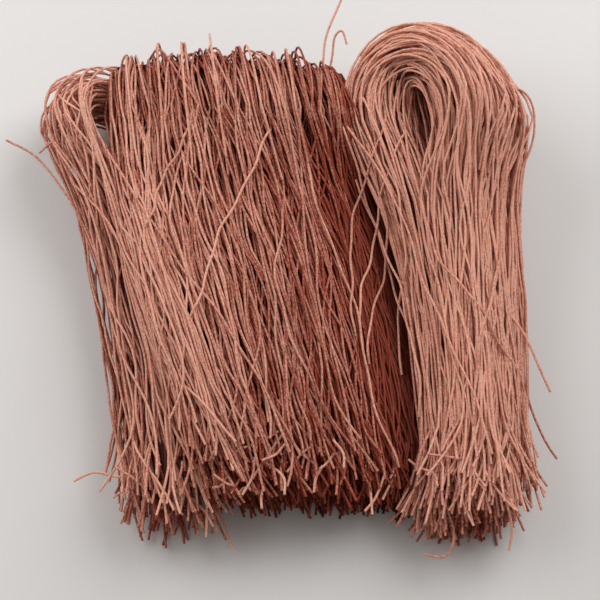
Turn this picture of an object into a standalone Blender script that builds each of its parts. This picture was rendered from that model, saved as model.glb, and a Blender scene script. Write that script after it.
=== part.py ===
"""A block of dried red rice vermicelli, lying on its back, as one solid.

The noodles were hung over a pole to dry, so each bundle is a band of long strands folded once:
its loops are at the +Y end and its cut ends at the -Y end. Three bundles that dried against each
other make the block. +Z is the side that shows, and X runs across the block.
Lengths are in metres and angles in degrees.
"""

import math
import random
from dataclasses import dataclass

import bmesh
import bpy
from mathutils import Vector
from mathutils.bvhtree import BVHTree

MM = 0.001
STRAND = 1.25 * MM  # diameter of one noodle
SINK = 3.5 * MM  # how much of each bundle's round back is pressed flat on the table
ROUNDING = 0.6  # 0 gives a bundle square edges, 1 makes its section an ellipse
RIDGE = 0.9 * MM  # height of the noodles that stand out of the core
RAGGED = 14 * MM  # how unevenly the noodles are cut
LOCK = 1.3 * MM  # how far the locks of noodles stick out along the legs, and twice that at the fold
LOCK_LENGTHS = (30 * MM, 17 * MM)  # the two spacings of the locks along the pole
HOLLOW_FROM = 0.78  # share of the way to the fold at which the loops close on each other
WIDENS_OVER = 0.2  # share of a leg over which the loops widen towards the fold
SEED = 11
MIDDLE = Vector((-15.3, 20.6, 0)) * MM  # the middle of the block's box, which becomes the origin

LEG_STEPS = (0, 0.3, 0.6, 0.86)  # stations along a leg, from its cut end towards the fold
TURN_STEPS = (0, 30, 60, 90, 120, 150, 180)  # stations round the fold

RICE_PINK = (0.52, 0.235, 0.165, 1)


@dataclass
class Bundle:
    """One folded bundle. A set of three values holds at its cut ends, halfway, and at its fold."""

    name: str
    across: tuple  # x of its middle: a curve's four control values, from the cut ends to the fold
    pole: tuple  # half its length along the drying pole
    loop: tuple  # half the width of its outermost loop, in its legs and at its fold
    lean: tuple  # the way that the upper half of the loops faces, in degrees from +X
    thin: float  # how much thinner its legs are at the edge towards +X, as a share
    cut_y: float  # the mean cut end
    step: float  # how much further down the lower layers reach than the upper ones
    fold_y: float  # the line that the loops hang from
    rise: tuple  # how far past that line the innermost and the outermost loop reach
    hollow: float  # half the width of the innermost loop, where the pole was
    dent: float  # how deep that hollow goes, as a share of the pole's half length
    band_ridges: int  # ridges across the band
    face_ridges: int  # ridges between the innermost and the outermost loop
    loose_ends: int  # noodles that stand out of the cut end


LEFT = Bundle(
    name="left_bundle",
    across=(-63 * MM, -73 * MM, -85 * MM, -102 * MM),
    pole=(22 * MM, 20 * MM, 23 * MM),
    loop=(19 * MM, 31 * MM),
    lean=(125, 140, 150),
    thin=0,
    cut_y=-104 * MM,
    step=9 * MM,
    fold_y=94 * MM,
    rise=(18 * MM, 32 * MM),
    hollow=17 * MM,
    dent=0.6,
    band_ridges=8,
    face_ridges=5,
    loose_ends=16,
)
CENTRE = Bundle(
    name="centre_bundle",
    across=(9 * MM, -2 * MM, -22 * MM, -31.5 * MM),
    pole=(62 * MM, 77 * MM, 70 * MM),
    loop=(23 * MM, 31 * MM),
    lean=(82, 79, 88),
    thin=0.68,
    cut_y=-90 * MM,
    step=4 * MM,
    fold_y=95 * MM,
    rise=(19 * MM, 46 * MM),
    hollow=5 * MM,
    dent=0.06,
    band_ridges=23,
    face_ridges=4,
    loose_ends=34,
)
RIGHT = Bundle(
    name="right_bundle",
    across=(84 * MM, 88 * MM, 83 * MM, 70 * MM),
    pole=(20 * MM, 25 * MM, 31 * MM),
    loop=(21 * MM, 47 * MM),
    lean=(42, 38, 35),
    thin=0,
    cut_y=-101 * MM,
    step=9 * MM,
    fold_y=92 * MM,
    rise=(29 * MM, 49 * MM),
    hollow=10 * MM,
    dent=0.5,
    band_ridges=11,
    face_ridges=8,
    loose_ends=20,
)
BUNDLES = (CENTRE, LEFT, RIGHT)


def along(values, t):
    """The value a share t of the way from the cut ends to the fold."""
    cut, halfway, fold = values
    return cut * (1 - t) * (1 - 2 * t) + halfway * 4 * t * (1 - t) + fold * t * (2 * t - 1)


def curve(controls, t):
    """The value at t of the curve with these four control values."""
    first, second, third, last = controls
    early = first * (1 - t) ** 3 + 3 * second * t * (1 - t) ** 2
    return early + 3 * third * t**2 * (1 - t) + last * t**3


def widening(loop, t):
    """Half the width of the outermost loop, which swells smoothly towards the fold."""
    leg, fold = loop
    return leg + (fold - leg) / (1 + ((1 - t) / WIDENS_OVER) ** 2)


def half_height(pole, loop, lean):
    """Half the height of a bundle's section, which stands tilted by lean."""
    shares = [n / 6 for n in range(7)]
    rim = [(share, 1) for share in shares] + [(1, share) for share in shares]
    return max(
        pole * side * math.sqrt(1 - ROUNDING * layer**2 / 2) * abs(math.cos(lean))
        + loop * layer * math.sqrt(1 - ROUNDING * side**2 / 2) * abs(math.sin(lean))
        for side, layer in rim
    )


def lock(bundle, t, turn, side):
    """How far the outermost loop swells where the noodles hang together in locks."""
    place = side * along(bundle.pole, t)
    start = bundle.across[0] / MM
    wide, narrow = (math.tau * place / length for length in LOCK_LENGTHS)
    return LOCK * (1 + t**4) * (math.sin(wide + turn + start) + math.sin(narrow + 2 * t - start)) / 2


def bundle_point(bundle, t, turn, side, layer, swell=0.0):
    """A point of a bundle.

    t runs from the cut end (0) to the fold (1), and turn is the angle round the fold, from the
    upper leg (0) to the lower one (180). side is the place along the pole (-1 to 1), and layer
    runs from the innermost loop (0) to the outermost one (1).
    """
    turn = math.radians(turn)
    lean = math.radians(along(bundle.lean, t))
    pole = along(bundle.pole, t)
    outer = widening(bundle.loop, t)
    open_share = max(0, (t - HOLLOW_FROM) / (1 - HOLLOW_FROM))
    open_share = open_share**2 * (3 - 2 * open_share)
    inner = bundle.hollow * open_share
    low, high = bundle.rise
    rounded = math.sqrt(1 - ROUNDING * side**2 / 2)
    outward = layer * (swell + lock(bundle, t, turn, side))
    reach = (inner + layer * (outer - inner)) * rounded + outward
    beyond = ((low + layer * (high - low)) * rounded + outward) * math.sin(turn)
    depth = 1 - bundle.dent * open_share * max(0, 1 - layer) ** 2
    offset = pole * side * depth * math.sqrt(1 - ROUNDING * min(1, layer) ** 2 / 2)
    offset += side * swell
    deep = reach * math.cos(turn)
    cut_y = bundle.cut_y + layer * bundle.step * math.cos(turn)
    leg = bundle.fold_y - cut_y
    heading = 3 * (bundle.across[3] - bundle.across[2]) / leg
    across = curve(bundle.across, t) + heading * beyond
    height = half_height(pole, outer, lean) - SINK
    z = height - offset * math.cos(lean) + deep * math.sin(lean)
    return Vector(
        (
            across + offset * math.sin(lean) + deep * math.cos(lean),
            cut_y + t * leg + beyond,
            z * (1 - bundle.thin * max(0, side) ** 1.3 * (1 - t**5)),
        )
    )


def columns_of(bundle):
    """(side, layer) of each column of the core, from the hollow round the band to the hollow."""
    face = [n / (2 * bundle.face_ridges) for n in range(2 * bundle.face_ridges)]
    band = [n / bundle.band_ridges - 1 for n in range(2 * bundle.band_ridges + 1)]
    return (
        [(-1, layer) for layer in face]
        + [(side, 1) for side in band]
        + [(1, layer) for layer in reversed(face)]
    )


def stations():
    """(t, turn) of each row of the core, from the upper cut end over the fold to the lower one."""
    return (
        [(t, 0) for t in LEG_STEPS]
        + [(1, turn) for turn in TURN_STEPS]
        + [(t, 180) for t in reversed(LEG_STEPS)]
    )


def bundle_core(bundle, chance):
    """The bundle's mass as one closed body, ridged lengthwise by the noodles at its surface."""
    columns = columns_of(bundle)
    rows = stations()
    heights = [(1 if n % 2 else -1) * RIDGE * chance.uniform(0.5, 1.1) for n in range(len(columns))]
    phases = [chance.uniform(0, 6.3) for _ in columns]
    bm = bmesh.new()
    bmesh.ops.create_grid(
        bm, x_segments=len(columns) - 1, y_segments=len(rows) - 1, size=0.5
    )
    for vert in bm.verts:
        column = round((vert.co.x + 0.5) * (len(columns) - 1))
        row = round((vert.co.y + 0.5) * (len(rows) - 1))
        side, layer = columns[column]
        t, turn = rows[row]
        swell = heights[column] * (1 + 0.3 * math.sin(phases[column] + 5 * t))
        vert.co = bundle_point(bundle, t, turn, side, layer, swell)
    bmesh.ops.remove_doubles(bm, verts=bm.verts, dist=0.05 * MM)
    rim = [edge for edge in bm.edges if edge.is_boundary]
    ends = bmesh.ops.holes_fill(bm, edges=rim, sides=0)["faces"]
    bmesh.ops.triangulate(bm, faces=ends)
    bmesh.ops.recalc_face_normals(bm, faces=bm.faces)
    mesh = bpy.data.meshes.new(bundle.name)
    bm.to_mesh(mesh)
    bm.free()
    return bpy.data.objects.new(bundle.name, mesh)


def smooth_line(points, per_span=4):
    """A smooth curve through the points."""
    points = [Vector(point) for point in points]
    ends = [2 * points[0] - points[1], *points, 2 * points[-1] - points[-2]]
    line = []
    for before, start, stop, after in zip(ends, ends[1:], ends[2:], ends[3:]):
        for n in range(per_span):
            t = n / per_span
            line.append(
                0.5
                * (
                    2 * start
                    + (stop - before) * t
                    + (2 * before - 5 * start + 4 * stop - after) * t**2
                    + (3 * start - before - 3 * stop + after) * t**3
                )
            )
    return [*line, points[-1]]


def cut_end_line(bundle, chance):
    """A short length of one noodle that stands out of the bundle's cut end, a little splayed."""
    turn = chance.choice((0, 0, 180))
    side = chance.uniform(-0.95, 0.95)
    layer = chance.uniform(0.35, 0.97)
    start = bundle_point(bundle, 0.04, turn, side, layer)
    stop = bundle_point(bundle, 0, turn, side, layer)
    heading = (stop - start).normalized()
    splay = Vector((chance.uniform(-1, 1), 0, chance.uniform(-0.7, 0.7)))
    length = chance.uniform(0.35, 1) * RAGGED
    tip = stop + (heading + 0.5 * splay) * length
    tip.z = max(tip.z, 0.6 * STRAND)
    return [start, stop, tip]


def loop_line(bundle, sides, layer, lift, reach=(0.8, 0.86)):
    """A noodle that stands proud of the fold by lift, sunk into the bundle at both its ends.

    sides are its places along the pole on the upper and the lower leg, and reach is how near the
    fold it leaves each of them.
    """
    upper, lower = reach
    run = (
        [(upper + (1 - upper) * n / 2, 0) for n in range(2)]
        + [(1, turn) for turn in range(0, 181, 20)]
        + [(1 - (1 - lower) * n / 2, 180) for n in range(1, 3)]
    )
    last = len(run) - 1
    line = []
    for n, (t, turn) in enumerate(run):
        share = n / last
        proud = layer + lift * math.sin(math.pi * share) - 0.06 * abs(2 * share - 1) ** 6
        side = sides[0] + (sides[1] - sides[0]) * share
        place = bundle_point(bundle, t, turn, side, proud)
        place.z = max(place.z, 0.4 * STRAND)
        line.append(place)
    return line


def lying_line(tree, route, rise=0.5 * STRAND, dips=3):
    """A noodle that lies on the upper side along a route of (x, y) in millimetres.

    Both its ends are sunk into the core, and it touches it again between the dips.
    """
    flat = smooth_line([(x * MM, y * MM, 0) for x, y in route])
    last = len(flat) - 1
    line = []
    for n, place in enumerate(flat):
        above = Vector((place.x, place.y, 1))
        ground = tree.ray_cast(above, Vector((0, 0, -1)))[0].z
        ripple = abs(math.sin(math.pi * dips * n / last))
        line.append(Vector((place.x, place.y, ground + rise * (2.4 * ripple - 0.7))))
    eased = [line[0]]
    eased += [(a + 2 * b + c) / 4 for a, b, c in zip(line, line[1:], line[2:])]
    return [*eased, line[-1]]


# Loops that stand proud of a fold: bundle, places along the pole, layer, lift.
PROUD_LOOPS = (
    (CENTRE, (-0.72, -0.5), 1.0, 0.18),
    (CENTRE, (-0.5, -0.3), 1.0, 0.24),
    (CENTRE, (-0.22, -0.06), 1.0, 0.26),
    (CENTRE, (0.2, 0.12), 1.0, 0.2),
    (CENTRE, (0.45, 0.62), 1.0, 0.22),
    (RIGHT, (-0.55, -0.8), 1.0, 0.09),
    (RIGHT, (-0.2, -0.1), 1.0, 0.1),
    (RIGHT, (-0.8, -0.45), 1.0, 0.05),
    (LEFT, (0.6, 0.2), 1.0, 0.12),
    (LEFT, (-0.1, 0.5), 1.0, 0.16),
)

# Noodles that cross the upper side, as (x, y) in millimetres.
CROSSING = (
    ((-97, 74), (-78, 40), (-60, 8), (-34, -24), (-16, -56), (-6, -84)),
    ((-61, 70), (-50, 34), (-39, 4), (-31, -30), (-22, -66)),
    ((-52, 92), (-66, 58), (-76, 26)),
    ((-14, 84), (-30, 48), (-42, 14), (-52, -20)),
    ((24, 92), (46, 50), (62, 4), (78, -46), (90, -84)),
    ((104, 62), (98, 20), (88, -26), (80, -70)),
    ((58, 46), (70, 12), (88, -16), (108, -44)),
    ((4, 70), (14, 30), (30, -14), (36, -58), (46, -86)),
)

# Noodles with a free end, as (x, y, z) in millimetres. The first point is sunk in the core.
LOOSE = (
    ((-98, 10, 28), (-107, 34, 30), (-120, 57, 33), (-136, 77, 36), (-152, 86, 38)),
    ((-118, 84, 34), (-126, 86, 37), (-131, 82, 38), (-134, 78, 39)),
    ((9, 114, 30), (12, 131, 35), (14, 148, 39), (22, 168, 43)),
    ((13, 122, 26), (17, 138, 32), (18.5, 149, 36), (22.5, 152, 38), (25, 145, 36)),
    ((103, 108, 50), (113, 107, 53), (119, 98, 52), (119, 82, 48), (113, 68, 43), (102, 58, 38)),
    ((98, -2, 34), (109, -20, 38), (116, -38, 37), (121, -50, 35)),
    ((-62, -84, 24), (-84, -90, 27), (-98, -88, 28), (-108, -92, 27)),
    ((-45, -88, 16), (-37, -108, 14), (-32, -122, 12)),
    ((66, -96, 30), (73, -116, 22), (69, -126, 18), (59, -125, 16)),
    ((95, -96, 34), (100, -113, 26), (99, -124, 20)),
)


def noodle(name, line, helpers):
    """A noodle of four sides along a line of points, as a closed mesh."""
    spine = bpy.data.curves.new(name, "CURVE")
    spine.dimensions = "3D"
    spine.bevel_depth = 0.55 * STRAND
    spine.bevel_resolution = 0
    spine.use_fill_caps = True
    spline = spine.splines.new("POLY")
    spline.points.add(len(line) - 1)
    for point, place in zip(spline.points, line):
        point.co = (*place, 1)
    drawn = bpy.data.objects.new(name + "_line", spine)
    helpers.objects.link(drawn)
    graph = bpy.context.evaluated_depsgraph_get()
    mesh = bpy.data.meshes.new_from_object(drawn.evaluated_get(graph))
    bpy.data.objects.remove(drawn)
    bm = bmesh.new()
    bm.from_mesh(mesh)
    bmesh.ops.remove_doubles(bm, verts=bm.verts, dist=0.01 * MM)
    bmesh.ops.recalc_face_normals(bm, faces=bm.faces)
    bm.to_mesh(mesh)
    bm.free()
    return bpy.data.objects.new(name, mesh)


def apply_modifiers(obj):
    """Makes the object's evaluated mesh its own."""
    graph = bpy.context.evaluated_depsgraph_get()
    mesh = bpy.data.meshes.new_from_object(obj.evaluated_get(graph))
    obj.modifiers.clear()
    obj.data = mesh


def shells_of(bm):
    """The faces of each connected surface."""
    waiting = set(bm.faces)
    shells = []
    while waiting:
        shell = [waiting.pop()]
        for face in shell:
            smooth = [edge for edge in face.edges if len(edge.link_faces) == 2]
            beside = {other for edge in smooth for other in edge.link_faces} & waiting
            waiting -= beside
            shell.extend(beside)
        shells.append(shell)
    return shells


def keep_one_body(obj):
    """Fills the sealed hollows that the noodles leave between them, and drops loose scraps."""
    bm = bmesh.new()
    bm.from_mesh(obj.data)
    shells = sorted(shells_of(bm), key=len)
    spare = [face for shell in shells[:-1] for face in shell]
    bmesh.ops.delete(bm, geom=spare, context="FACES")
    bm.to_mesh(obj.data)
    bm.free()


def join(obj, pieces):
    """One Boolean union of the object with the pieces, which are then removed."""
    union = obj.modifiers.new("join", "BOOLEAN")
    union.operation = "UNION"
    union.solver = "MANIFOLD"
    union.operand_type = "COLLECTION"
    union.collection = pieces
    apply_modifiers(obj)
    keep_one_body(obj)
    for piece in list(pieces.objects):
        bpy.data.objects.remove(piece)


def flatten_back(obj, helpers):
    """Cuts what hangs below the table, so that the block rests on a flat back."""
    bm = bmesh.new()
    bmesh.ops.create_cube(bm, size=1)
    bmesh.ops.translate(bm, verts=bm.verts, vec=(0, 0, -0.5))
    mesh = bpy.data.meshes.new("table")
    bm.to_mesh(mesh)
    bm.free()
    table = bpy.data.objects.new("table", mesh)
    table.hide_render = True
    table.display_type = "WIRE"
    helpers.objects.link(table)
    cut = obj.modifiers.new("flat_back", "BOOLEAN")
    cut.operation = "DIFFERENCE"
    cut.solver = "MANIFOLD"
    cut.object = table
    apply_modifiers(obj)
    keep_one_body(obj)
    bpy.data.objects.remove(table)


def rice_noodle_material():
    material = bpy.data.materials.new("dried_rice_noodle")
    material.use_nodes = True
    shader = material.node_tree.nodes["Principled BSDF"]
    shader.inputs["Base Color"].default_value = RICE_PINK
    shader.inputs["Roughness"].default_value = 0.55
    shader.inputs["Metallic"].default_value = 0
    return material


def new_collection(name):
    collection = bpy.data.collections.new(name)
    bpy.context.scene.collection.children.link(collection)
    return collection


def main():
    for obj in list(bpy.data.objects):
        bpy.data.objects.remove(obj)
    chance = random.Random(SEED)
    part = new_collection("rice_vermicelli")
    pieces = new_collection("pieces_to_join")
    helpers = new_collection("helpers")

    block = bundle_core(BUNDLES[0], chance)
    block.name = "vermicelli_block"
    part.objects.link(block)
    for bundle in BUNDLES[1:]:
        pieces.objects.link(bundle_core(bundle, chance))
    join(block, pieces)

    surface = bmesh.new()
    surface.from_mesh(block.data)
    tree = BVHTree.FromBMesh(surface)
    lines = [loop_line(*loop) for loop in PROUD_LOOPS]
    lines += [lying_line(tree, route) for route in CROSSING]
    lines += [smooth_line([Vector(point) * MM for point in route]) for route in LOOSE]
    lines += [cut_end_line(bundle, chance) for bundle in BUNDLES for _ in range(bundle.loose_ends)]
    surface.free()
    for number, line in enumerate(lines):
        pieces.objects.link(noodle(f"noodle_{number:02d}", line, helpers))
    join(block, pieces)
    flatten_back(block, helpers)

    block.data.transform(block.matrix_world.Translation(-MIDDLE))
    block.data.materials.clear()
    block.data.materials.append(rice_noodle_material())
    block.data.shade_smooth()
    block.data.set_sharp_from_angle(angle=math.radians(50))
    for collection in (pieces, helpers):
        bpy.data.collections.remove(collection)


main()
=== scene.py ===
"""A block of dried red rice vermicelli, lying on its back and seen from above.

Each bundle is made of separate noodles that run up from the cut ends, over the fold and down
again. Lengths are in metres and angles in degrees. +Y runs from the cut ends to the folds, and
+Z up.
"""

import math
from dataclasses import dataclass

import bmesh
import bpy
import numpy as np
from mathutils import Matrix, Vector

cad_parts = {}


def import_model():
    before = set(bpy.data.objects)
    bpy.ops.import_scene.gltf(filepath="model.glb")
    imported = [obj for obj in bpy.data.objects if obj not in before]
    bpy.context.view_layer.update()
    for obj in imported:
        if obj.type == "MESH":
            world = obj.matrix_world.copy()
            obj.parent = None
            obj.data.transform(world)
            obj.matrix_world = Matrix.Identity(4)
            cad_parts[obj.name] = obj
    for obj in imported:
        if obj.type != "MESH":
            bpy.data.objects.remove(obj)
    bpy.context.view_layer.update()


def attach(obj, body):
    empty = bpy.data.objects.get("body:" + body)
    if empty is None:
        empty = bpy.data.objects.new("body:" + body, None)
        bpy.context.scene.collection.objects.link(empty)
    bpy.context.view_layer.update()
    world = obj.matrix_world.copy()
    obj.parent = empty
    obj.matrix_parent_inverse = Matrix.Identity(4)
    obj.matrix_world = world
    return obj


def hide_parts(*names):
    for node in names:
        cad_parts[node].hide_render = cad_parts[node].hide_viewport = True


MM = 0.001
STRAND = 1.25 * MM  # diameter of one noodle
SINK = 3.5 * MM  # how much of each bundle's round back is pressed flat on the table
ROUNDING = 0.6  # 0 gives a bundle square edges, 1 makes its section an ellipse
LOCK = 1.3 * MM  # how far the locks of noodles stick out of the legs, half as far as at the fold
LOCK_LENGTHS = (30 * MM, 17 * MM)  # the two spacings of the locks along the pole
HOLLOW_FROM = 0.78  # share of the way to the fold at which the loops close on each other
WIDENS_OVER = 0.2  # share of a leg over which the loops widen towards the fold
THINNING = 1.3  # power by which a bundle gets thinner towards its edge
CORE = (0.8, 0.45)  # how much of a bundle its heart fills, along the pole and across the layers
MIDDLE = np.array([-15.3, 20.6, 0]) * MM  # the middle of the block's box, which becomes the origin
HALFWAY_UP = Vector((0, 0, 30 * MM))  # what the lights face
SEED = 5

# How the noodles are laid out
SIDES, STRAY_SIDES = 5, 8  # faces round a noodle, and round a stray one
UPPER_POINTS, FOLD_POINTS, LOWER_POINTS = 25, 17, 10  # along a noodle's legs and its fold
LEG_RUN, FOLD_RUN = 0.82, 0.18  # shares of a noodle's length in its legs and its fold
PLACES_FROM = (0.31, 0.17)  # where the even scatter of the noodles over a bundle's section starts
PLACE_STEPS = [0.7548776662, 0.5698402910]  # steps that fill a square evenly
THINNED = 0.65  # share of the noodles that are left out at an edge that thins to nothing
IN_HOLLOW = 0.08  # share of the noodles that hang in the hollow where the pole was

# How they stick together in ties
TIES = (-0.9, -0.74, -0.58, -0.42, -0.27, 0.35, 0.6, 0.85)  # places along them, -1 to 1
TIE_SHIFT = 0.08  # how far from there a tie can be
TIE_LENGTH = 0.06
TIE_HOLD = (0.3, 0.85)  # how far it draws its noodles together
TIE_MIX = 2.2 * MM  # how unevenly the noodles are shared out among the ties
LOCKED, LEAST_TIES = 10, 4  # noodles to a tie, and ties to a bundle
LOOSE_HOLD = 0.3  # share of that pull on a loose noodle

# How they wander
WAVES = (0.5, 1.3, 2.9, 6.1)  # how many waves of each kind there are from a cut end to the fold
WANDERS = (2.4 * MM, 2.2 * MM, 1.2 * MM, 0.7 * MM)  # sizes of those waves, along the surface
WANDERS_INWARD = (0.8 * MM, 0.8 * MM, 0.6 * MM, 0.3 * MM)
STRAYS = (5 * MM, 4 * MM, 2 * MM, 0)  # the same, for what a loose noodle does more
LIFTS = (1.2 * MM, 1 * MM, 0.8 * MM, 0)
MOST_STRAY = 13 * MM
LOOSE_TO = 5 * MM  # depth to which noodles can be loose
LOOSE_SHARE = 0.55  # of the noodles at a bundle's surface
FOLD_SPREAD = 2.4 * MM  # how unevenly the loops lie in a tidy fold
TALLER = 0.05  # how much they differ in height there, as a share
OUTERMOST, INNERMOST = 1.1, -0.22  # how far out and in a noodle gets, 1 being the surface

# How they end
CUT_SPREAD = (10 * MM, 6 * MM)  # how uneven the cut ends are, in the upper and the lower leg
FAN = np.array([6.5, 0, 2.2]) * MM  # how the noodles spread towards their cut ends
CURL = np.array([5.5, 1.2, 2]) * MM  # how they curl there
FAN_LENGTH, CURL_LENGTH = 60 * MM, 28 * MM
MOST_CUT, MOST_FAN = 1.7, 2  # limits of the cuts, and of the fan and curl, in their spreads
CURLED = 0.6  # share of the ends that curl

# A noodle's tone runs from 0, deep pink, to 1, pale pink. Besides a random spread from noodle to
# noodle, it carries painted shade deep in a bundle, near the table and at a thin edge, and painted
# light higher up.
DEPTH_PAINTED_SHADE = 0.5  # how much paler the surface is than the inside; the inside is darker as painted shade
FADES_OVER = 4 * MM  # depth over which the surface's paleness fades into that painted shade
EDGE_IN_LIGHT = 0.7  # how much of the shade on a thin edge is gone at the fold
TONE_SPREAD = (-0.05, 0.4)  # from noodle to noodle
TABLE_PAINTED_SHADE = 0.8  # how much darker a noodle is on the table than at PAINTED_SHADE_UP_TO above it, as painted shade
PAINTED_SHADE_UP_TO = 48 * MM
PAINTED_LIGHT_ABOVE = 0.4  # how much of TABLE_PAINTED_SHADE it gets paler higher up, as painted light
PALEST = 0.9
STRAY_TONE = (0.6, 0.9)
PATCHES, SPECKS = 0.5, 1.8  # how much wide patches and fine specks change the tone

# Stray noodles
STRAY_POINTS = 36  # points along one
SPAN_POINTS = 6  # points of its smooth curve from one given point to the next
LYING_WAVES = ((1.1 * MM, 1.7), (0.5 * MM, 4.3))  # size and number of its waves on the heap
LOOP_REACH = (0.8, 0.86)  # how near the fold a proud loop leaves the upper and the lower leg
LOOP_LEGS, LOOP_FOLD = 4, 16  # its points in each leg and round the fold
LOOP_SUNK = 0.06  # how deep its ends are sunk, as a share of the bundle
CELL = 2.5 * MM  # of the grid that holds the heap's heights
MOST_TRIANGLES = 190_000  # in one piece

# Broken bits of noodle, in millimetres and radians
BROKEN_BITS = 40
BITS_ACROSS = (-82, 106)  # from and to
BITS_ALONG = (-92, 7)  # the mean and the spread
BITS_SUNK = 5  # at most, below the top of the heap
BITS_TURN, BITS_BEND = 0.7, 1.5  # spreads
BITS_HALF = (5, 13)  # half their length, from and to

# A bundle's heart, a dark core of painted shade
HEART_LAYERS, HEART_WIDTH = 6, 16  # faces across the layers and along the pole
HEART_LEGS = (0.1, 0.35, 0.6, 0.8)  # rows along each leg, as shares of the way to its top
HEART_STEP = 20  # degrees from row to row round the fold
HEART_SOLID = 0.7  # share of the way to its top above which it is hollow
HEART_HOLLOW = 0.6  # how much of it that hollow takes
CUT_RIM = 0.7  # share of cut_y past which its rim belongs to its cut end


@dataclass
class Bundle:
    """One folded bundle. A set of three values holds at its cut ends, halfway, and at its fold."""

    name: str
    across: tuple  # x of its middle: a curve's four control values, from the cut ends to the fold
    pole: tuple  # half its length along the drying pole
    loop: tuple  # half the width of its outermost loop, in its legs and at its fold
    lean: tuple  # the way that the upper half of the loops faces, in degrees from +X
    thin: float  # how much thinner its legs are at the edge towards +X, as a share
    cut_y: float  # the mean cut end
    step: float  # how much further down the lower layers reach than the upper ones
    fold_y: float  # the line that the loops hang from
    rise: tuple  # how far past that line the innermost and the outermost loop reach
    hollow: float  # half the width of the innermost loop, where the pole was
    dent: float  # how deep that hollow goes, as a share of the pole's half length
    noodles: int
    untidy: float  # how loosely the noodles lie at the fold, 1 being usual
    twist: float  # how far a loop's two legs can be out of line along the pole
    heart_to: float  # how far towards the fold the heart, dark with painted shade, reaches
    painted_light: float  # how much paler its noodles are than the others, as painted light; below 0, darker as painted shade


LEFT = Bundle(
    name="left_bundle",
    across=(-63 * MM, -73 * MM, -85 * MM, -102 * MM),
    pole=(22 * MM, 20 * MM, 23 * MM),
    loop=(19 * MM, 31 * MM),
    lean=(125, 140, 150),
    thin=0,
    cut_y=-104 * MM,
    step=9 * MM,
    fold_y=94 * MM,
    rise=(18 * MM, 32 * MM),
    hollow=17 * MM,
    dent=0.6,
    noodles=92,
    untidy=3.4,
    twist=17 * MM,
    heart_to=0.5,
    painted_light=0.5,
)
CENTRE = Bundle(
    name="centre_bundle",
    across=(9 * MM, -2 * MM, -22 * MM, -31.5 * MM),
    pole=(62 * MM, 77 * MM, 70 * MM),
    loop=(23 * MM, 31 * MM),
    lean=(82, 79, 88),
    thin=0.68,
    cut_y=-90 * MM,
    step=4 * MM,
    fold_y=95 * MM,
    rise=(19 * MM, 46 * MM),
    hollow=5 * MM,
    dent=0.06,
    noodles=1230,
    untidy=1.3,
    twist=8 * MM,
    heart_to=0.97,
    painted_light=-0.22,
)
RIGHT = Bundle(
    name="right_bundle",
    across=(84 * MM, 88 * MM, 83 * MM, 70 * MM),
    pole=(20 * MM, 25 * MM, 31 * MM),
    loop=(21 * MM, 47 * MM),
    lean=(42, 38, 35),
    thin=0,
    cut_y=-101 * MM,
    step=9 * MM,
    fold_y=92 * MM,
    rise=(29 * MM, 49 * MM),
    hollow=10 * MM,
    dent=0.5,
    noodles=500,
    untidy=2.2,
    twist=11 * MM,
    heart_to=0.97,
    painted_light=0.5,
)
BUNDLES = (CENTRE, LEFT, RIGHT)


def along(values, t):
    """The value a share t of the way from the cut ends to the fold."""
    cut, halfway, fold = values
    return cut * (1 - t) * (1 - 2 * t) + halfway * 4 * t * (1 - t) + fold * t * (2 * t - 1)


def curve(controls, t):
    """The value at t of the curve with these four control values."""
    first, second, third, last = controls
    early = first * (1 - t) ** 3 + 3 * second * t * (1 - t) ** 2
    return early + 3 * third * t**2 * (1 - t) + last * t**3


def widening(loop, t):
    """Half the width of the outermost loop, which swells smoothly towards the fold."""
    leg, fold = loop
    return leg + (fold - leg) / (1 + ((1 - t) / WIDENS_OVER) ** 2)


def half_height(pole, loop, lean):
    """Half the height of a bundle's section, which stands tilted by lean."""
    shares = [n / 6 for n in range(7)]
    rim = [(share, 1) for share in shares] + [(1, share) for share in shares]
    heights = [
        pole * side * math.sqrt(1 - ROUNDING * layer**2 / 2) * abs(np.cos(lean))
        + loop * layer * math.sqrt(1 - ROUNDING * side**2 / 2) * abs(np.sin(lean))
        for side, layer in rim
    ]
    return np.max(heights, axis=0)


def lock(bundle, t, turn, side):
    """How far the outermost loop swells where the noodles hang together in locks."""
    place = side * along(bundle.pole, t)
    start = bundle.across[0] / MM
    wide, narrow = (math.tau * place / length for length in LOCK_LENGTHS)
    return LOCK * (1 + t**4) * (np.sin(wide + turn + start) + np.sin(narrow + 2 * t - start)) / 2


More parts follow.
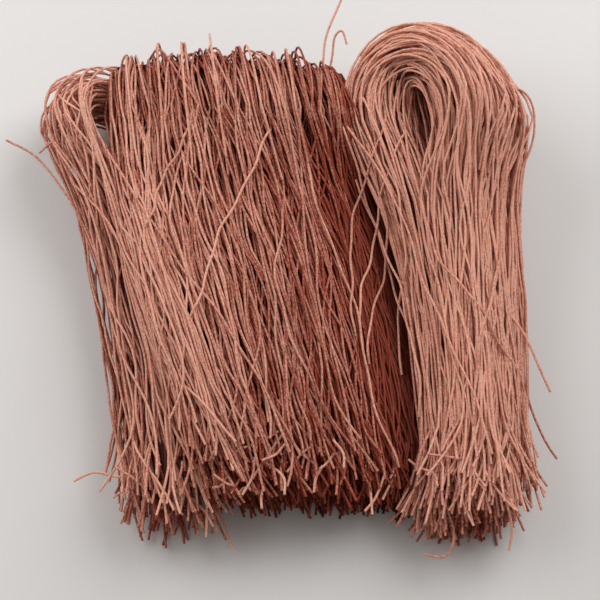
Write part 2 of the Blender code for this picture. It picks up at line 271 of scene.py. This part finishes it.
def bundle_points(bundle, t, turn, side, layer):
    """Points of a bundle, with x, y and z on the last axis.

    t runs from the cut end (0) to the fold (1), and turn is the angle round the fold, from the
    upper leg (0) to the lower one (180). side is the place along the pole (-1 to 1), and layer
    runs from the innermost loop (0) to the outermost one (1).
    """
    turn = np.radians(turn)
    lean = np.radians(along(bundle.lean, t))
    pole = along(bundle.pole, t)
    outer = widening(bundle.loop, t)
    open_share = np.clip((t - HOLLOW_FROM) / (1 - HOLLOW_FROM), 0, 1)
    open_share = open_share**2 * (3 - 2 * open_share)
    inner = bundle.hollow * open_share
    low, high = bundle.rise
    rounded = np.sqrt(1 - ROUNDING * side**2 / 2)
    swell = layer * lock(bundle, t, turn, side)
    reach = (inner + layer * (outer - inner)) * rounded + swell
    beyond = ((low + layer * (high - low)) * rounded + swell) * np.sin(turn)
    depth = 1 - bundle.dent * open_share * np.maximum(0, 1 - layer) ** 2
    offset = pole * side * depth * np.sqrt(1 - ROUNDING * np.minimum(1, layer) ** 2 / 2)
    deep = reach * np.cos(turn)
    cut_y = bundle.cut_y + layer * bundle.step * np.cos(turn)
    height = half_height(pole, outer, lean) - SINK
    leg = bundle.fold_y - cut_y
    heading = 3 * (bundle.across[3] - bundle.across[2]) / leg
    across = curve(bundle.across, t) + heading * beyond
    x = across + offset * np.sin(lean) + deep * np.cos(lean)
    y = cut_y + t * leg + beyond
    z = height - offset * np.cos(lean) + deep * np.sin(lean)
    z = z * (1 - bundle.thin * np.maximum(0, side) ** THINNING * (1 - t**5))
    return np.stack(np.broadcast_arrays(x, y, z), axis=-1)


def scattered(count, start):
    """Evenly scattered (side, layer) places over a bundle's section."""
    places = (np.arange(count)[:, None] * PLACE_STEPS + start) % 1
    return places[:, 0] * 2 - 1, places[:, 1]


def wander(chance, count, run, sizes):
    """Smooth random curves along run, one a row, with waves of these sizes."""
    curves = np.zeros((count, len(run)))
    for size, waves in zip(sizes, WAVES):
        phase = chance.uniform(0, math.tau, (count, 1))
        curves += size * chance.normal(0, 1, (count, 1)) * np.sin(math.tau * waves * run + phase)
    return curves


def limited(values, most):
    """The values, bent smoothly so that none is further from 0 than most."""
    return values / (1 + abs(values / most) ** 8) ** 0.125


def noodle_path():
    """t, turn and run for each point of a noodle; run goes from -1 to 1 along its whole length."""
    upper = np.linspace(0, 1, UPPER_POINTS + 1)[:-1] ** 1.1
    lower = np.linspace(1, 0, LOWER_POINTS + 1)[1:] ** 1.2
    fold = np.ones(FOLD_POINTS)
    t = np.concatenate([upper, fold, lower])
    turn = np.concatenate([upper * 0, np.linspace(0, 180, FOLD_POINTS), lower * 0 + 180])
    round_fold = np.linspace(-FOLD_RUN, FOLD_RUN, FOLD_POINTS)
    run = np.concatenate([LEG_RUN * upper - 1, round_fold, 1 - LEG_RUN * lower])
    return t, turn, run


def drawn_together(bundle, chance, places, run):
    """How far each noodle is drawn to those near it, along the pole and across the layers."""
    size = np.array([bundle.pole[1], bundle.loop[0]])
    moves = np.zeros((len(places), len(run), 2))
    for tie in TIES:
        count = max(LEAST_TIES, len(places) // LOCKED)
        knots = np.stack(scattered(count, chance.random(2)), axis=-1) * size
        off = chance.normal(0, TIE_MIX, places.shape)
        gaps = np.linalg.norm((places + off)[:, None] - knots, axis=2)
        nearest = np.argmin(gaps, axis=1)
        middle = (tie + chance.uniform(-TIE_SHIFT, TIE_SHIFT, count))[nearest][:, None]
        hold = chance.uniform(*TIE_HOLD, count)[nearest][:, None]
        share = hold * np.exp(-(((run - middle) / TIE_LENGTH) ** 2))
        moves += share[..., None] * (knots[nearest] - places)[:, None]
    return moves


def noodle_places(bundle, chance):
    """Where a bundle's noodles go in its section, as (sides, layers), fewer at its thin edge."""
    sides, layers = scattered(bundle.noodles, PLACES_FROM)
    left_out = THINNED * bundle.thin * np.maximum(0, sides) ** THINNING
    kept = chance.random(bundle.noodles) > left_out
    return sides[kept], (1 + IN_HOLLOW) * layers[kept] - IN_HOLLOW


def frayed(lines, t, turn, chance):
    """The lines, fanned out and curled towards both their cut ends."""
    count = len(lines)
    for end in (0, len(t) - 1):
        away = abs(lines[:, :, 1] - lines[:, end : end + 1, 1])
        away = np.where(turn == turn[end], away, 1)
        fan = limited(chance.normal(0, 1, (count, 1, 3)), MOST_FAN) * FAN
        lines = lines + fan * (np.clip(1 - away / FAN_LENGTH, 0, 1) ** 2)[..., None]
        curl = limited(chance.normal(0, 1, (count, 1, 3)), MOST_FAN) * CURL
        curl = curl * (chance.random((count, 1, 1)) < CURLED)
        lines = lines + curl * (np.clip(1 - away / CURL_LENGTH, 0, 1) ** 1.6)[..., None]
    return lines


def noodle_tones_and_shading(bundle, chance, lines, t, sides, depth):
    """The tones along a bundle's noodles, with painted light and shade: paler at its surface and
    higher up, and darker as painted shade inside, on the table and at a thin edge.
    """
    # painted light for the whole bundle, and painted shade deeper inside it
    tones_and_shading = bundle.painted_light + DEPTH_PAINTED_SHADE * np.exp(-depth / FADES_OVER)
    # painted shade on the thin edge of a bundle, less of it at the fold
    tones_and_shading = tones_and_shading - bundle.thin * sides[:, None] ** 5 * (1 - EDGE_IN_LIGHT * t**5)
    tones_and_shading += chance.uniform(*TONE_SPREAD, (len(lines), 1))
    # painted shade near the table, and painted light higher up
    tones_and_shading -= TABLE_PAINTED_SHADE * np.clip(1 - lines[..., 2] / PAINTED_SHADE_UP_TO, -PAINTED_LIGHT_ABOVE, 1)
    return np.minimum(tones_and_shading, PALEST)


def noodle_lines(bundle, chance):
    """The centre lines of a bundle's noodles, and the tones along them, which carry painted light
    and shade.
    """
    t, turn, run = noodle_path()
    sides, layers = noodle_places(bundle, chance)
    count = len(sides)
    size = np.array([bundle.pole[1], bundle.loop[0]])
    places = np.stack([sides, layers], axis=-1) * size
    below_face, below_band = ((1 - abs(np.stack([sides, layers]))) * size[:, None])[..., None]
    depth = np.minimum(below_face, below_band)

    loose = (depth < LOOSE_TO) & (chance.random((count, 1)) < LOOSE_SHARE)
    drawn = np.where(loose, LOOSE_HOLD, 1)
    moves = drawn_together(bundle, chance, places, run) * drawn[..., None]
    on_band = below_band < below_face
    sideways = wander(chance, count, run, WANDERS)
    inward = wander(chance, count, run, WANDERS_INWARD)
    side_moves = moves[..., 0] + np.where(on_band, sideways, inward)
    layer_moves = moves[..., 1] + np.where(on_band, inward, sideways)
    stray = loose * limited(wander(chance, count, run, STRAYS), MOST_STRAY)
    side_moves += stray * on_band
    layer_moves += stray * ~on_band
    lift = loose * abs(wander(chance, count, run, LIFTS))
    layer_moves += lift * on_band
    side_moves += lift * ~on_band * np.sign(sides)[:, None]
    layer_moves += bundle.untidy * t**6 * chance.normal(0, FOLD_SPREAD, (count, 1))
    side_moves += bundle.twist * t**6 * (turn / 90 - 1) * chance.normal(0, 1, (count, 1))
    side = limited(sides[:, None] + side_moves / along(bundle.pole, t), OUTERMOST)
    layer = limited(layers[:, None] + layer_moves / widening(bundle.loop, t), OUTERMOST)
    layer = np.maximum(layer, INNERMOST)

    cut = np.zeros((count, len(t)))
    leg = bundle.fold_y - bundle.cut_y
    for part, spread in zip((turn == 0, turn == 180), CUT_SPREAD):
        start = limited(chance.normal(0, spread, (count, 1)), MOST_CUT * spread) / leg
        cut += part * start * (1 - t) ** 3
    lines = bundle_points(bundle, t + cut, turn, side, layer)
    taller = TALLER * bundle.untidy * chance.normal(0, 1, (count, 1))
    lines[..., 1] += taller * np.maximum(0, lines[..., 1] - bundle.fold_y)
    lines = frayed(lines, t, turn, chance)
    lines[..., 2] = np.maximum(lines[..., 2], STRAND / 2)
    return lines, noodle_tones_and_shading(bundle, chance, lines, t, sides, depth)


def smooth_line(points):
    """A smooth curve through the points."""
    points = np.array(points, dtype=float)
    ends = np.vstack([2 * points[0] - points[1], points, 2 * points[-1] - points[-2]])
    t = np.arange(SPAN_POINTS)[:, None] / SPAN_POINTS
    line = []
    for before, start, stop, after in zip(ends, ends[1:], ends[2:], ends[3:]):
        bend = 2 * before - 5 * start + 4 * stop - after
        swing = 3 * start - before - 3 * stop + after
        line.append((2 * start + (stop - before) * t + bend * t**2 + swing * t**3) / 2)
    return np.vstack([*line, points[-1:]])


def even_line(line):
    """The line with STRAY_POINTS evenly spaced points."""
    steps = np.linalg.norm(np.diff(line, axis=0), axis=1)
    places = np.concatenate([[0], np.cumsum(steps)])
    even = np.linspace(0, places[-1], STRAY_POINTS)
    return np.stack([np.interp(even, places, line[:, axis]) for axis in range(3)], axis=-1)


def heights_over(points):
    """The top of the heap in each square cell of the plan, as (lowest corner, heights)."""
    low = points[:, :2].min(axis=0) - CELL
    places = ((points[:, :2] - low) / CELL).astype(int)
    heights = np.zeros(places.max(axis=0) + 3)
    np.maximum.at(heights, (places[:, 0], places[:, 1]), points[:, 2])
    near = [np.roll(heights, move, (0, 1)) for move in ((0, 0), (0, 1), (0, -1), (1, 0), (-1, 0))]
    return low, np.max(near, axis=0)


def top_of(heap, places):
    """The height of the heap's top at each (x, y) place."""
    low, heights = heap
    cells = np.clip(((places - low) / CELL).astype(int), 0, np.array(heights.shape) - 1)
    return heights[cells[:, 0], cells[:, 1]]


def lying_line(heap, route):
    """A slightly wavy noodle that lies on the heap along a route of (x, y) in millimetres."""
    line = even_line(smooth_line([(x * MM, y * MM, 0) for x, y in route]))
    share = np.linspace(0, 1, STRAY_POINTS)
    for (size, waves), start in zip(LYING_WAVES, route[0]):
        line[:, 0] += size * np.sin(math.tau * waves * share + start)
    top = top_of(heap, line[:, :2])
    for _ in range(3):
        top = np.maximum(top, (np.roll(top, 1) + np.roll(top, -1)) / 2)
        top[0], top[-1] = top[1], top[-2]
    mean_of_five = np.ones(5) / 5
    top = np.convolve(np.pad(top, 2, mode="edge"), mean_of_five, mode="valid")
    line[:, 2] = top + 0.3 * STRAND
    line[[0, -1], 2] -= 1.5 * STRAND  # so that its ends are in the heap
    return line


def loop_line(bundle, sides, lift):
    """A noodle that stands proud of the fold by lift, and whose ends are sunk into the bundle.

    sides are its places along the pole on the upper and the lower leg.
    """
    upper, lower = (np.linspace(reach, 1, LOOP_LEGS + 1)[:-1] for reach in LOOP_REACH)
    t = np.concatenate([upper, np.ones(LOOP_FOLD), lower[::-1]])
    turn = np.concatenate([upper * 0, np.linspace(0, 180, LOOP_FOLD), lower * 0 + 180])
    share = np.linspace(0, 1, len(t))
    layer = 1 + lift * np.sin(np.pi * share) - LOOP_SUNK * abs(2 * share - 1) ** 6
    side = sides[0] + (sides[1] - sides[0]) * share
    line = bundle_points(bundle, t, turn, side, layer)
    line[:, 2] = np.maximum(line[:, 2], STRAND / 2)
    return even_line(line)


def broken_bits(heap, chance):
    """Short broken lengths of noodle that lie at odd angles among the cut ends."""
    bits = []
    for _ in range(BROKEN_BITS):
        place = np.array([chance.uniform(*BITS_ACROSS), chance.normal(*BITS_ALONG), 0]) * MM
        place[2] = top_of(heap, place[None, :2])[0] - chance.uniform(0, BITS_SUNK) * MM
        turn = chance.normal(0, BITS_TURN)
        half = chance.uniform(*BITS_HALF) * MM * np.array([math.sin(turn), math.cos(turn), 0])
        half[2] = chance.normal(0, BITS_BEND) * MM
        bend = np.append(chance.normal(0, BITS_BEND, 2) * MM, 0)
        bits.append(even_line(smooth_line([place - half, place + bend, place + half])))
    return bits


def noodle_mesh(name, lines, tones_and_shading, across, sides=SIDES):
    """Noodles along their centre lines, with flat cut ends, as one mesh."""
    count, length = lines.shape[:2]
    heading = np.gradient(lines, axis=1)
    heading /= np.linalg.norm(heading, axis=2, keepdims=True)
    right = across - heading * (heading @ across)[..., None]
    right /= np.linalg.norm(right, axis=2, keepdims=True)
    above = np.cross(heading, right)
    angle = np.arange(sides)[:, None] * math.tau / sides
    ring = right[:, :, None] * np.cos(angle) + above[:, :, None] * np.sin(angle)
    corners = lines[:, :, None] + STRAND / 2 * ring

    number = np.arange(count * length * sides).reshape(count, length, sides)
    beside = np.roll(number, -1, axis=2)
    walls = np.stack([number[:, :-1], beside[:, :-1], beside[:, 1:], number[:, 1:]], axis=-1)
    faces = walls.reshape(-1, 4).tolist()
    faces += number[:, 0, ::-1].tolist() + number[:, -1].tolist()
    mesh = bpy.data.meshes.new(name)
    mesh.from_pydata(corners.reshape(-1, 3), [], faces)
    # the tone, with its painted light and shade, goes to the material
    tone = mesh.attributes.new("tone", "FLOAT", "POINT")
    tone.data.foreach_set("value", np.repeat(tones_and_shading, sides).astype(np.float32))
    mesh.shade_smooth()
    mesh.set_sharp_from_angle(angle=math.radians(80))
    return mesh


def add_piece(name, mesh, material):
    """A piece of the block, moved to the block's origin."""
    mesh.transform(Matrix.Translation(-Vector(MIDDLE)))
    mesh.materials.append(material)
    piece = bpy.data.objects.new(name, mesh)
    bpy.context.scene.collection.objects.link(piece)
    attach(piece, "root")
    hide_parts("vermicelli_block")


def heart_mesh(bundle):
    """The middle of a bundle, a dark mesh of painted shade, which the noodles in front of it hide.
    """
    face = [(-1, n / HEART_LAYERS) for n in range(HEART_LAYERS)]
    band = [(2 * n / HEART_WIDTH - 1, 1) for n in range(HEART_WIDTH + 1)]
    columns = face + band + [(1, layer) for _, layer in reversed(face)]
    legs = [bundle.heart_to * t for t in HEART_LEGS]
    rows = [(t, 0) for t in legs]
    rows += [(bundle.heart_to, turn) for turn in range(0, 181, HEART_STEP)]
    rows += [(t, 180) for t in reversed(legs)]
    along_pole, outermost = CORE
    bm = bmesh.new()
    bmesh.ops.create_grid(bm, x_segments=len(columns) - 1, y_segments=len(rows) - 1, size=0.5)
    for vert in bm.verts:
        side, layer = columns[round((vert.co.x + 0.5) * (len(columns) - 1))]
        t, turn = rows[round((vert.co.y + 0.5) * (len(rows) - 1))]
        inside = HEART_HOLLOW * outermost * (t > HEART_SOLID * bundle.heart_to)
        layer = inside + layer * (outermost - inside)
        vert.co = bundle_points(bundle, t, turn, along_pole * side, layer)
    bmesh.ops.remove_doubles(bm, verts=bm.verts, dist=0.05 * MM)

    # The rim at the cut end is filled, and the two rims round the hollow are bridged.
    rim = {edge for edge in bm.edges if edge.is_boundary}
    cut_end = {edge for edge in rim if edge.verts[0].co.y < CUT_RIM * bundle.cut_y}
    bmesh.ops.holes_fill(bm, edges=list(cut_end), sides=0)
    bmesh.ops.bridge_loops(bm, edges=list(rim - cut_end))
    bmesh.ops.recalc_face_normals(bm, faces=bm.faces)
    mesh = bpy.data.meshes.new(bundle.name + "_heart")
    bm.to_mesh(mesh)
    bm.free()
    return mesh


# Loops that stand proud of a fold: bundle, places along the pole, and lift, in layers.
PROUD_LOOPS = (
    (CENTRE, (-0.72, -0.5), 0.18),
    (CENTRE, (-0.5, -0.3), 0.24),
    (CENTRE, (-0.22, -0.06), 0.26),
    (CENTRE, (0.2, 0.12), 0.2),
    (CENTRE, (0.45, 0.62), 0.22),
    (RIGHT, (-0.55, -0.8), 0.09),
    (RIGHT, (-0.2, -0.1), 0.1),
    (RIGHT, (-0.8, -0.45), 0.05),
    (LEFT, (0.6, 0.2), 0.12),
    (LEFT, (-0.1, 0.5), 0.16),
)

# Noodles that cross the upper side, as (x, y) in millimetres.
CROSSING = (
    ((-97, 74), (-78, 40), (-60, 8), (-34, -24), (-16, -56), (-6, -84)),
    ((-61, 70), (-50, 34), (-39, 4), (-31, -30), (-22, -66)),
    ((-52, 92), (-66, 58), (-76, 26)),
    ((-14, 84), (-30, 48), (-42, 14), (-52, -20)),
    ((24, 92), (46, 50), (62, 4), (78, -46), (90, -84)),
    ((104, 62), (98, 20), (88, -26), (80, -70)),
    ((58, 46), (70, 12), (88, -16), (108, -44)),
    ((4, 70), (14, 30), (30, -14), (36, -58), (46, -86)),
)

# Noodles thinly spread over the dip between the middle and the right bundle, in the same way.
OVER_DIP = (
    ((20, 92), (26, 76), (37, 50), (46, 18), (55, -22), (60, -50)),
    ((44, 94), (32, 60), (26, 32), (25, 0), (28, -20)),
    ((34, 80), (43, 48), (42, 17), (35, -16), (33, -34)),
    ((32, 104), (40, 80), (49, 58), (52, 26), (49, -8), (52, -36)),
    ((52, 84), (40, 46), (32, 8), (30, -12)),
    ((30, 66), (42, 28), (54, -14), (58, -60)),
)

# Noodles with a free end, as (x, y, z) in millimetres. The first point is sunk in the bundle.
LOOSE = (
    ((-98, 10, 28), (-107, 34, 30), (-120, 57, 33), (-136, 77, 36), (-152, 86, 38)),
    ((-118, 84, 34), (-126, 86, 37), (-131, 82, 38), (-134, 78, 39)),
    ((9, 114, 30), (12, 131, 35), (14, 148, 39), (22, 168, 43)),
    ((13, 122, 26), (17, 138, 32), (18.5, 149, 36), (22.5, 152, 38), (25, 145, 36)),
    ((103, 108, 50), (113, 107, 53), (119, 98, 52), (119, 82, 48), (113, 68, 43), (102, 58, 38)),
    ((98, -2, 34), (109, -20, 38), (116, -38, 37), (121, -50, 35)),
    ((-62, -84, 24), (-84, -90, 27), (-98, -88, 28), (-108, -92, 27)),
    ((-45, -88, 16), (-37, -108, 14), (-32, -122, 12)),
    ((66, -96, 30), (73, -116, 22), (69, -126, 18), (59, -125, 16)),
    ((95, -96, 34), (100, -113, 26), (99, -124, 20)),
)


def stray_lines(heap, chance):
    """The noodles that stand out of the block, lie across it or have broken off at its cut end."""
    lines = [loop_line(*loop) for loop in PROUD_LOOPS]
    lines += [lying_line(heap, route) for route in CROSSING + OVER_DIP]
    lines += [even_line(smooth_line(np.array(route) * MM)) for route in LOOSE]
    lines += broken_bits(heap, chance)
    return np.array(lines)


class Link:
    """An output of a material's node. Arithmetic on it adds the Math nodes."""

    def __init__(self, shader, socket):
        self.shader = shader
        self.socket = socket

    def math(self, operation, *values):
        return self.shader.node("Math", {"operation": operation}, dict(enumerate((self, *values))))

    def __add__(self, other):
        return self.math("ADD", other)

    def __sub__(self, other):
        return self.math("SUBTRACT", other)

    def __mul__(self, other):
        return self.math("MULTIPLY", other)

    __radd__ = __add__
    __rmul__ = __mul__

    def __rsub__(self, other):
        return self.math("MULTIPLY", -1) + other

    def between(self, low, high):
        """0 below low, 1 above high, and smooth between them."""
        sockets = {"Value": self, "From Min": low, "From Max": high}
        return self.shader.node("MapRange", {"interpolation_type": "SMOOTHSTEP"}, sockets)


class Shader:
    """A material with one Principled shader, and the nodes that feed it."""

    def __init__(self, name, **values):
        self.material = bpy.data.materials.new(name)
        self.material.use_nodes = True
        self.tree = self.material.node_tree
        self.principled = self.tree.nodes["Principled BSDF"]
        for socket, value in values.items():
            self.feed(socket.replace("_", " "), value)

    def plug(self, entry, value):
        if isinstance(value, Link):
            self.tree.links.new(value.socket, entry)
        else:
            entry.default_value = value

    def feed(self, socket, value):
        self.plug(self.principled.inputs[socket], value)

    def node(self, kind, settings, sockets, output=0):
        """A node of this kind, with its settings and its sockets' values or links."""
        node = self.tree.nodes.new("ShaderNode" + kind)
        for setting, value in settings.items():
            setattr(node, setting, value)
        for entry, value in sockets.items():
            self.plug(node.inputs[entry], value)
        return Link(self, node.outputs[output])

    def attribute(self, name):
        return self.node("Attribute", {"attribute_name": name}, {}, "Fac")

    def noise(self, scale, detail=2.0, stretch=(1, 1, 1)):
        place = self.node("TexCoord", {}, {}, "Object")
        place = self.node("VectorMath", {"operation": "MULTIPLY"}, {0: place, 1: stretch})
        return self.node("TexNoise", {}, {"Vector": place, "Scale": scale, "Detail": detail})

    def blend(self, share, first, second):
        """A colour between first and second, each a colour or a link."""
        return self.node("Mix", {"data_type": "RGBA"}, {0: share, 6: first, 7: second}, 2)

    def bump(self, height, distance):
        self.feed("Normal", self.node("Bump", {}, {"Distance": distance, "Height": height}))


DEEP_PINK = (0.32, 0.06, 0.031, 1)
PALE_PINK = (0.82, 0.432, 0.318, 1)
# pale specks: the noodle's grain, and painted glints as well
GRAIN_AND_GLINT = (0.9, 0.66, 0.56, 1)
# SHADED is painted shade
SHADED = (0.08, 0.017, 0.01, 1)
# the heart's colours are painted shade for the noodles deep inside
HEART_SHADE = (0.2, 0.038, 0.02, 1)
DARKER_HEART_SHADE = (0.05, 0.009, 0.005, 1)


def noodle_material():
    """Dried rice noodle: matt, slightly see-through, with a fine pale grain that is also painted
    glints, and painted shade from its tone.
    """
    shader = Shader(
        "dried_rice_noodle",
        Specular_IOR_Level=0.15,
        Subsurface_Weight=0.35,
        Subsurface_Radius=(1.0, 0.6, 0.45),
        Subsurface_Scale=0.4 * MM,
    )
    tone = shader.attribute("tone")
    mottling = PATCHES * shader.noise(scale=60) + SPECKS * shader.noise(scale=900, detail=3)
    mottling = mottling - (PATCHES + SPECKS) / 2  # because a noise's mean is a half
    body = shader.blend(tone + mottling, DEEP_PINK, PALE_PINK)
    sparkle = shader.noise(scale=1300).between(0.57, 0.64)
    # painted shade: darker still where the tone falls below 0
    body = shader.blend(-0.9 * tone, body, SHADED)
    # pale specks of grain and painted glints, fewer where the tone holds painted shade
    shader.feed("Base Color", shader.blend(0.4 * sparkle * tone, body, GRAIN_AND_GLINT))
    shader.feed("Roughness", 0.6 - 0.2 * sparkle)
    shader.bump(shader.noise(scale=1100), distance=0.16 * MM)
    return shader.material


def heart_material():
    """The noodles deep inside, as fine streaks that run along the bundles, in the dark colours of
    painted shade.
    """
    shader = Shader("shaded_noodles", Roughness=0.8)
    streaks = shader.noise(scale=800, detail=1, stretch=(1, 0.03, 0.4))
    shader.feed("Base Color", shader.blend(streaks.between(0.4, 0.6), HEART_SHADE, DARKER_HEART_SHADE))
    shader.bump(1 - streaks, distance=0.8 * MM)
    return shader.material


def floor_material():
    shader = Shader("pale_floor", Roughness=0.7)
    shader.feed("Base Color", (0.72, 0.71, 0.7, 1))
    return shader.material


def add_floor():
    bm = bmesh.new()
    bmesh.ops.create_grid(bm, x_segments=1, y_segments=1, size=1.5)
    mesh = bpy.data.meshes.new("floor")
    bm.to_mesh(mesh)
    bm.free()
    mesh.materials.append(floor_material())
    floor = bpy.data.objects.new("floor", mesh)
    bpy.context.scene.collection.objects.link(floor)


def add_light(name, place, size, watts):
    """A square soft light that faces the block."""
    lamp = bpy.data.lights.new(name, "AREA")
    lamp.size = size
    lamp.energy = watts
    light = bpy.data.objects.new(name, lamp)
    light.location = place
    ahead = HALFWAY_UP - light.location
    light.rotation_euler = ahead.to_track_quat("-Z", "Y").to_euler()
    bpy.context.scene.collection.objects.link(light)


def add_surroundings(colour, strength):
    """An even light from all round."""
    world = bpy.data.worlds.new("studio")
    world.use_nodes = True
    background = world.node_tree.nodes["Background"]
    background.inputs["Color"].default_value = colour
    background.inputs["Strength"].default_value = strength
    bpy.context.scene.world = world


def add_camera(target, elevation, distance, lens):
    camera = bpy.data.objects.new("camera", bpy.data.cameras.new("camera"))
    camera.data.lens = lens
    camera.data.clip_start = 10 * MM
    angle = math.radians(elevation)
    away = Vector((0, -math.cos(angle), math.sin(angle)))
    camera.location = Vector(target) + distance * away
    camera.rotation_euler = (-away).to_track_quat("-Z", "Y").to_euler()
    bpy.context.scene.collection.objects.link(camera)
    bpy.context.scene.camera = camera


def main():
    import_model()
    chance = np.random.default_rng(SEED)
    noodle = noodle_material()
    heart = heart_material()
    everything = []
    for bundle in BUNDLES:
        lean = math.radians(bundle.lean[1])
        across = np.array([math.sin(lean), 0, -math.cos(lean)])
        lines, tones_and_shading = noodle_lines(bundle, chance)
        between = (lines[:, 1:] + lines[:, :-1]) / 2
        everything += [lines.reshape(-1, 3), between.reshape(-1, 3)]
        triangles = 2 * SIDES * lines.shape[1]
        groups = math.ceil(len(lines) * triangles / MOST_TRIANGLES)
        for number in range(groups):
            name = f"{bundle.name}_{number + 1}"
            share = slice(number, None, groups)
            add_piece(name, noodle_mesh(name, lines[share], tones_and_shading[share], across), noodle)
        add_piece(bundle.name + "_heart", heart_mesh(bundle), heart)

    strays = stray_lines(heights_over(np.vstack(everything)), chance)
    tones_and_shading = np.repeat(chance.uniform(*STRAY_TONE, (len(strays), 1)), STRAY_POINTS, axis=1)
    mesh = noodle_mesh("stray_noodles", strays, tones_and_shading, np.array([0.2, 0.1, 1]), STRAY_SIDES)
    add_piece("stray_noodles", mesh, noodle)

    add_floor()
    add_light("key_light", place=(0.6, 0.5, 0.85), size=0.8, watts=8.5)
    add_light("fill_light", place=(-0.7, 0.3, 0.6), size=0.9, watts=6)
    add_surroundings(colour=(0.6, 0.56, 0.53, 1), strength=0.45)
    bpy.context.scene.view_settings.view_transform = "Standard"
    add_camera(HALFWAY_UP - Vector(MIDDLE), elevation=68, distance=0.708, lens=85)


main()
